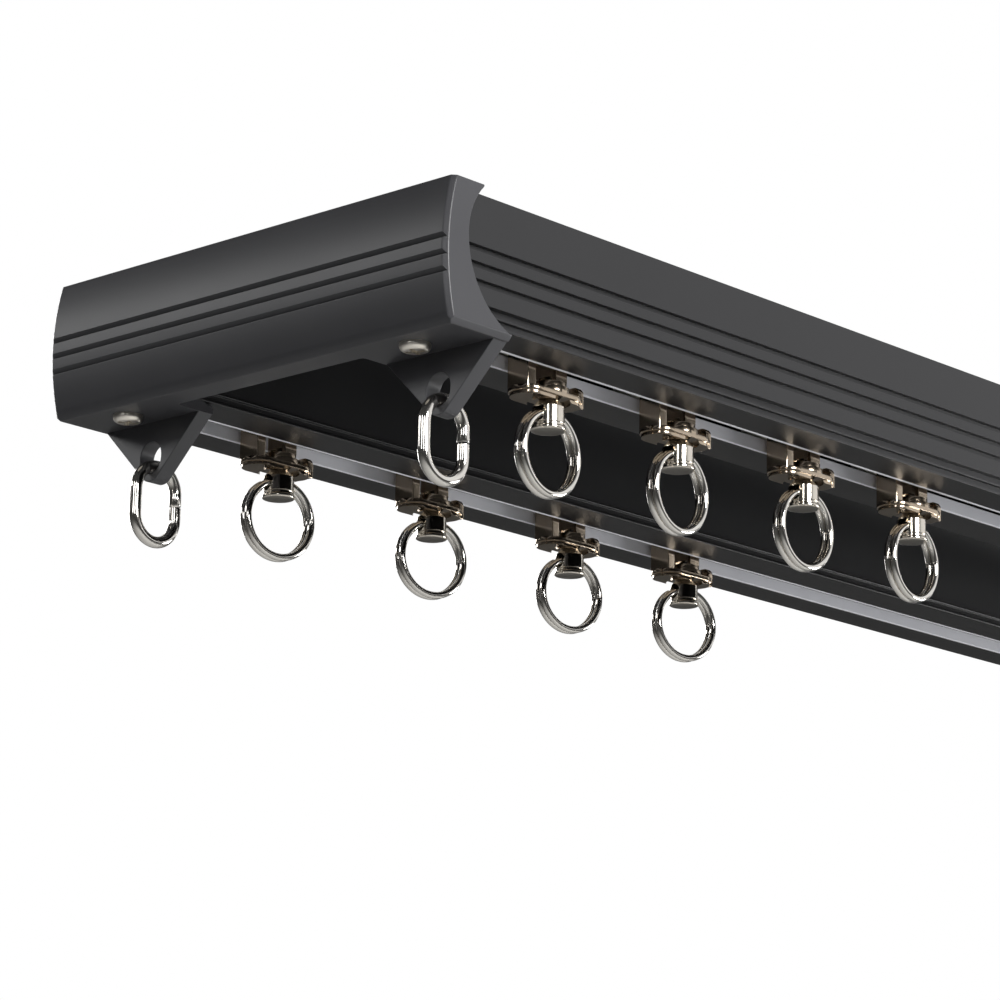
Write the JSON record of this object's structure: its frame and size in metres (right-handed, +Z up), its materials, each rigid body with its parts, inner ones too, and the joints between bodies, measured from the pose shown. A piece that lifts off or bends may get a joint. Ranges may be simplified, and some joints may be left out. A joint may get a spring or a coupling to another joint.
{
  "type": "curtain track",
  "caption": "Two-lane black ceiling curtain track with moulded end caps, oval lug links and wheeled gliders with swivel eyes and split rings",
  "frame": {"origin": "middle of the rail's flat top face, half way along the track", "axes": "+X runs along the track, +Y across it to the rear lane, +Z is up; everything hangs below z = 0"},
  "size_m": [0.6034, 0.1024, 0.0498],
  "materials": {
    "rail": "satin black coated aluminium",
    "liner": "grey low-friction plastic",
    "cap": "satin black moulded plastic",
    "screw": "bright nickel plate",
    "nut": "zinc plated steel",
    "link": "bright nickel plated wire",
    "carriage": "nickel plated zinc casting",
    "wheel": "natural hard plastic",
    "eye": "turned and nickel plated brass",
    "ring": "bright nickel plated spring wire"
  },
  "bodies": {
    "track": {"track_rail": "rail", "liner_front_outer": "liner", "liner_front_inner": "liner", "liner_rear_inner": "liner", "liner_rear_outer": "liner", "end_cap_left": "cap", "end_cap_right": "cap", "cap_screws": "screw", "clamp_nuts": "nut"},
    "link_left_front": {"link_left_front": "link"},
    "link_left_rear": {"link_left_rear": "link"},
    "link_right_front": {"link_right_front": "link"},
    "link_right_rear": {"link_right_rear": "link"},
    "front_1_carriage": {"front_1_carriage": "carriage"},
    "front_1_wheels_a": {"front_1_wheels_a": "wheel"},
    "front_1_wheels_b": {"front_1_wheels_b": "wheel"},
    "front_1_eye": {"front_1_eye": "eye"},
    "front_1_ring": {"front_1_ring": "ring"},
    "front_2_carriage": {"front_2_carriage": "carriage"},
    "front_2_wheels_a": {"front_2_wheels_a": "wheel"},
    "front_2_wheels_b": {"front_2_wheels_b": "wheel"},
    "front_2_eye": {"front_2_eye": "eye"},
    "front_2_ring": {"front_2_ring": "ring"},
    "front_3_carriage": {"front_3_carriage": "carriage"},
    "front_3_wheels_a": {"front_3_wheels_a": "wheel"},
    "front_3_wheels_b": {"front_3_wheels_b": "wheel"},
    "front_3_eye": {"front_3_eye": "eye"},
    "front_3_ring": {"front_3_ring": "ring"},
    "front_4_carriage": {"front_4_carriage": "carriage"},
    "front_4_wheels_a": {"front_4_wheels_a": "wheel"},
    "front_4_wheels_b": {"front_4_wheels_b": "wheel"},
    "front_4_eye": {"front_4_eye": "eye"},
    "front_4_ring": {"front_4_ring": "ring"},
    "rear_1_carriage": {"rear_1_carriage": "carriage"},
    "rear_1_wheels_a": {"rear_1_wheels_a": "wheel"},
    "rear_1_wheels_b": {"rear_1_wheels_b": "wheel"},
    "rear_1_eye": {"rear_1_eye": "eye"},
    "rear_1_ring": {"rear_1_ring": "ring"},
    "rear_2_carriage": {"rear_2_carriage": "carriage"},
    "rear_2_wheels_a": {"rear_2_wheels_a": "wheel"},
    "rear_2_wheels_b": {"rear_2_wheels_b": "wheel"},
    "rear_2_eye": {"rear_2_eye": "eye"},
    "rear_2_ring": {"rear_2_ring": "ring"},
    "rear_3_carriage": {"rear_3_carriage": "carriage"},
    "rear_3_wheels_a": {"rear_3_wheels_a": "wheel"},
    "rear_3_wheels_b": {"rear_3_wheels_b": "wheel"},
    "rear_3_eye": {"rear_3_eye": "eye"},
    "rear_3_ring": {"rear_3_ring": "ring"},
    "rear_4_carriage": {"rear_4_carriage": "carriage"},
    "rear_4_wheels_a": {"rear_4_wheels_a": "wheel"},
    "rear_4_wheels_b": {"rear_4_wheels_b": "wheel"},
    "rear_4_eye": {"rear_4_eye": "eye"},
    "rear_4_ring": {"rear_4_ring": "ring"}
  },
  "joints": [
    {"name": "link_left_front_swing", "type": "hinge", "parent": "track", "child": "link_left_front", "pos_m": [-0.2864, -0.037, -0.03302], "axis": [1, 0, 0], "range_deg": [-75, 75]},
    {"name": "link_left_rear_swing", "type": "hinge", "parent": "track", "child": "link_left_rear", "pos_m": [-0.2864, 0.037, -0.03302], "axis": [1, 0, 0], "range_deg": [-75, 75]},
    {"name": "link_right_front_swing", "type": "hinge", "parent": "track", "child": "link_right_front", "pos_m": [0.2864, -0.037, -0.03302], "axis": [1, 0, 0], "range_deg": [-75, 75]},
    {"name": "link_right_rear_swing", "type": "hinge", "parent": "track", "child": "link_right_rear", "pos_m": [0.2864, 0.037, -0.03302], "axis": [1, 0, 0], "range_deg": [-75, 75]},
    {"name": "front_1_slide", "type": "slide", "parent": "track", "child": "front_1_carriage", "axis": [1, 0, 0], "range_m": [-0.01, 0.0144]},
    {"name": "front_1_wheels_a_spin", "type": "hinge", "parent": "front_1_carriage", "child": "front_1_wheels_a", "pos_m": [-0.2662, -0.037, -0.01515], "axis": [0, 1, 0], "continuous": true},
    {"name": "front_1_wheels_b_spin", "type": "hinge", "parent": "front_1_carriage", "child": "front_1_wheels_b", "pos_m": [-0.2556, -0.037, -0.01515], "axis": [0, 1, 0], "continuous": true},
    {"name": "front_1_swivel", "type": "hinge", "parent": "front_1_carriage", "child": "front_1_eye", "pos_m": [-0.2599, -0.037, -0.029], "axis": [0, 0, 1], "continuous": true},
    {"name": "front_1_ring_swing", "type": "hinge", "parent": "front_1_eye", "child": "front_1_ring", "pos_m": [-0.2599, -0.037, -0.0301], "axis": [0.999, 0.0436, 0], "range_deg": [-75, 75]},
    {"name": "front_2_slide", "type": "slide", "parent": "track", "child": "front_2_carriage", "axis": [1, 0, 0], "range_m": [-0.0144, 0.016]},
    {"name": "front_2_wheels_a_spin", "type": "hinge", "parent": "front_2_carriage", "child": "front_2_wheels_a", "pos_m": [-0.2306, -0.037, -0.01515], "axis": [0, 1, 0], "continuous": true},
    {"name": "front_2_wheels_b_spin", "type": "hinge", "parent": "front_2_carriage", "child": "front_2_wheels_b", "pos_m": [-0.22, -0.037, -0.01515], "axis": [0, 1, 0], "continuous": true},
    {"name": "front_2_swivel", "type": "hinge", "parent": "front_2_carriage", "child": "front_2_eye", "pos_m": [-0.2243, -0.037, -0.029], "axis": [0, 0, 1], "continuous": true},
    {"name": "front_2_ring_swing", "type": "hinge", "parent": "front_2_eye", "child": "front_2_ring", "pos_m": [-0.2243, -0.037, -0.0301], "axis": [0.999, 0.0436, 0], "range_deg": [-75, 75]},
    {"name": "front_3_slide", "type": "slide", "parent": "track", "child": "front_3_carriage", "axis": [1, 0, 0], "range_m": [-0.016, 0.0133]},
    {"name": "front_3_wheels_a_spin", "type": "hinge", "parent": "front_3_carriage", "child": "front_3_wheels_a", "pos_m": [-0.19335, -0.037, -0.01515], "axis": [0, 1, 0], "continuous": true},
    {"name": "front_3_wheels_b_spin", "type": "hinge", "parent": "front_3_carriage", "child": "front_3_wheels_b", "pos_m": [-0.18275, -0.037, -0.01515], "axis": [0, 1, 0], "continuous": true},
    {"name": "front_3_swivel", "type": "hinge", "parent": "front_3_carriage", "child": "front_3_eye", "pos_m": [-0.18705, -0.037, -0.029], "axis": [0, 0, 1], "continuous": true},
    {"name": "front_3_ring_swing", "type": "hinge", "parent": "front_3_eye", "child": "front_3_ring", "pos_m": [-0.18705, -0.037, -0.0301], "axis": [1, 0, 0], "range_deg": [-75, 75]},
    {"name": "front_4_slide", "type": "slide", "parent": "track", "child": "front_4_carriage", "axis": [1, 0, 0], "range_m": [-0.0133, 0.42]},
    {"name": "front_4_wheels_a_spin", "type": "hinge", "parent": "front_4_carriage", "child": "front_4_wheels_a", "pos_m": [-0.1588, -0.037, -0.01515], "axis": [0, 1, 0], "continuous": true},
    {"name": "front_4_wheels_b_spin", "type": "hinge", "parent": "front_4_carriage", "child": "front_4_wheels_b", "pos_m": [-0.1482, -0.037, -0.01515], "axis": [0, 1, 0], "continuous": true},
    {"name": "front_4_swivel", "type": "hinge", "parent": "front_4_carriage", "child": "front_4_eye", "pos_m": [-0.1525, -0.037, -0.029], "axis": [0, 0, 1], "continuous": true},
    {"name": "front_4_ring_swing", "type": "hinge", "parent": "front_4_eye", "child": "front_4_ring", "pos_m": [-0.1525, -0.037, -0.0301], "axis": [0.9986, 0.0523, 0], "range_deg": [-75, 75]},
    {"name": "rear_1_slide", "type": "slide", "parent": "track", "child": "rear_1_carriage", "axis": [1, 0, 0], "range_m": [-0.012, 0.0211]},
    {"name": "rear_1_wheels_a_spin", "type": "hinge", "parent": "rear_1_carriage", "child": "rear_1_wheels_a", "pos_m": [-0.2616, 0.037, -0.01515], "axis": [0, 1, 0], "continuous": true},
    {"name": "rear_1_wheels_b_spin", "type": "hinge", "parent": "rear_1_carriage", "child": "rear_1_wheels_b", "pos_m": [-0.251, 0.037, -0.01515], "axis": [0, 1, 0], "continuous": true},
    {"name": "rear_1_swivel", "type": "hinge", "parent": "rear_1_carriage", "child": "rear_1_eye", "pos_m": [-0.2553, 0.037, -0.029], "axis": [0, 0, 1], "continuous": true},
    {"name": "rear_1_ring_swing", "type": "hinge", "parent": "rear_1_eye", "child": "rear_1_ring", "pos_m": [-0.2553, 0.037, -0.0301], "axis": [0.9903, -0.1392, 0], "range_deg": [-75, 75]},
    {"name": "rear_2_slide", "type": "slide", "parent": "track", "child": "rear_2_carriage", "axis": [1, 0, 0], "range_m": [-0.0211, 0.0202]},
    {"name": "rear_2_wheels_a_spin", "type": "hinge", "parent": "rear_2_carriage", "child": "rear_2_wheels_a", "pos_m": [-0.2193, 0.037, -0.01515], "axis": [0, 1, 0], "continuous": true},
    {"name": "rear_2_wheels_b_spin", "type": "hinge", "parent": "rear_2_carriage", "child": "rear_2_wheels_b", "pos_m": [-0.2087, 0.037, -0.01515], "axis": [0, 1, 0], "continuous": true},
    {"name": "rear_2_swivel", "type": "hinge", "parent": "rear_2_carriage", "child": "rear_2_eye", "pos_m": [-0.213, 0.037, -0.029], "axis": [0, 0, 1], "continuous": true},
    {"name": "rear_2_ring_swing", "type": "hinge", "parent": "rear_2_eye", "child": "rear_2_ring", "pos_m": [-0.213, 0.037, -0.0301], "axis": [0.9799, -0.1994, 0], "range_deg": [-75, 75]},
    {"name": "rear_3_slide", "type": "slide", "parent": "track", "child": "rear_3_carriage", "axis": [1, 0, 0], "range_m": [-0.0202, 0.0158]},
    {"name": "rear_3_wheels_a_spin", "type": "hinge", "parent": "rear_3_carriage", "child": "rear_3_wheels_a", "pos_m": [-0.1779, 0.037, -0.01515], "axis": [0, 1, 0], "continuous": true},
    {"name": "rear_3_wheels_b_spin", "type": "hinge", "parent": "rear_3_carriage", "child": "rear_3_wheels_b", "pos_m": [-0.1673, 0.037, -0.01515], "axis": [0, 1, 0], "continuous": true},
    {"name": "rear_3_swivel", "type": "hinge", "parent": "rear_3_carriage", "child": "rear_3_eye", "pos_m": [-0.1716, 0.037, -0.029], "axis": [0, 0, 1], "continuous": true},
    {"name": "rear_3_ring_swing", "type": "hinge", "parent": "rear_3_eye", "child": "rear_3_ring", "pos_m": [-0.1716, 0.037, -0.0301], "axis": [0.9848, -0.1736, 0], "range_deg": [-75, 75]},
    {"name": "rear_4_slide", "type": "slide", "parent": "track", "child": "rear_4_carriage", "axis": [1, 0, 0], "range_m": [-0.0158, 0.4]},
    {"name": "rear_4_wheels_a_spin", "type": "hinge", "parent": "rear_4_carriage", "child": "rear_4_wheels_a", "pos_m": [-0.1409, 0.037, -0.01515], "axis": [0, 1, 0], "continuous": true},
    {"name": "rear_4_wheels_b_spin", "type": "hinge", "parent": "rear_4_carriage", "child": "rear_4_wheels_b", "pos_m": [-0.1303, 0.037, -0.01515], "axis": [0, 1, 0], "continuous": true},
    {"name": "rear_4_swivel", "type": "hinge", "parent": "rear_4_carriage", "child": "rear_4_eye", "pos_m": [-0.1346, 0.037, -0.029], "axis": [0, 0, 1], "continuous": true},
    {"name": "rear_4_ring_swing", "type": "hinge", "parent": "rear_4_eye", "child": "rear_4_ring", "pos_m": [-0.1346, 0.037, -0.0301], "axis": [0.9799, -0.1994, 0], "range_deg": [-75, 75]}
  ],
  "couplings": [
    {"joint": "front_1_wheels_a_spin", "follows": "front_1_slide", "rad_per_m": 200},
    {"joint": "front_1_wheels_b_spin", "follows": "front_1_slide", "rad_per_m": 200},
    {"joint": "front_2_wheels_a_spin", "follows": "front_2_slide", "rad_per_m": 200},
    {"joint": "front_2_wheels_b_spin", "follows": "front_2_slide", "rad_per_m": 200},
    {"joint": "front_3_wheels_a_spin", "follows": "front_3_slide", "rad_per_m": 200},
    {"joint": "front_3_wheels_b_spin", "follows": "front_3_slide", "rad_per_m": 200},
    {"joint": "front_4_wheels_a_spin", "follows": "front_4_slide", "rad_per_m": 200},
    {"joint": "front_4_wheels_b_spin", "follows": "front_4_slide", "rad_per_m": 200},
    {"joint": "rear_1_wheels_a_spin", "follows": "rear_1_slide", "rad_per_m": 200},
    {"joint": "rear_1_wheels_b_spin", "follows": "rear_1_slide", "rad_per_m": 200},
    {"joint": "rear_2_wheels_a_spin", "follows": "rear_2_slide", "rad_per_m": 200},
    {"joint": "rear_2_wheels_b_spin", "follows": "rear_2_slide", "rad_per_m": 200},
    {"joint": "rear_3_wheels_a_spin", "follows": "rear_3_slide", "rad_per_m": 200},
    {"joint": "rear_3_wheels_b_spin", "follows": "rear_3_slide", "rad_per_m": 200},
    {"joint": "rear_4_wheels_a_spin", "follows": "rear_4_slide", "rad_per_m": 200},
    {"joint": "rear_4_wheels_b_spin", "follows": "rear_4_slide", "rad_per_m": 200}
  ]
}
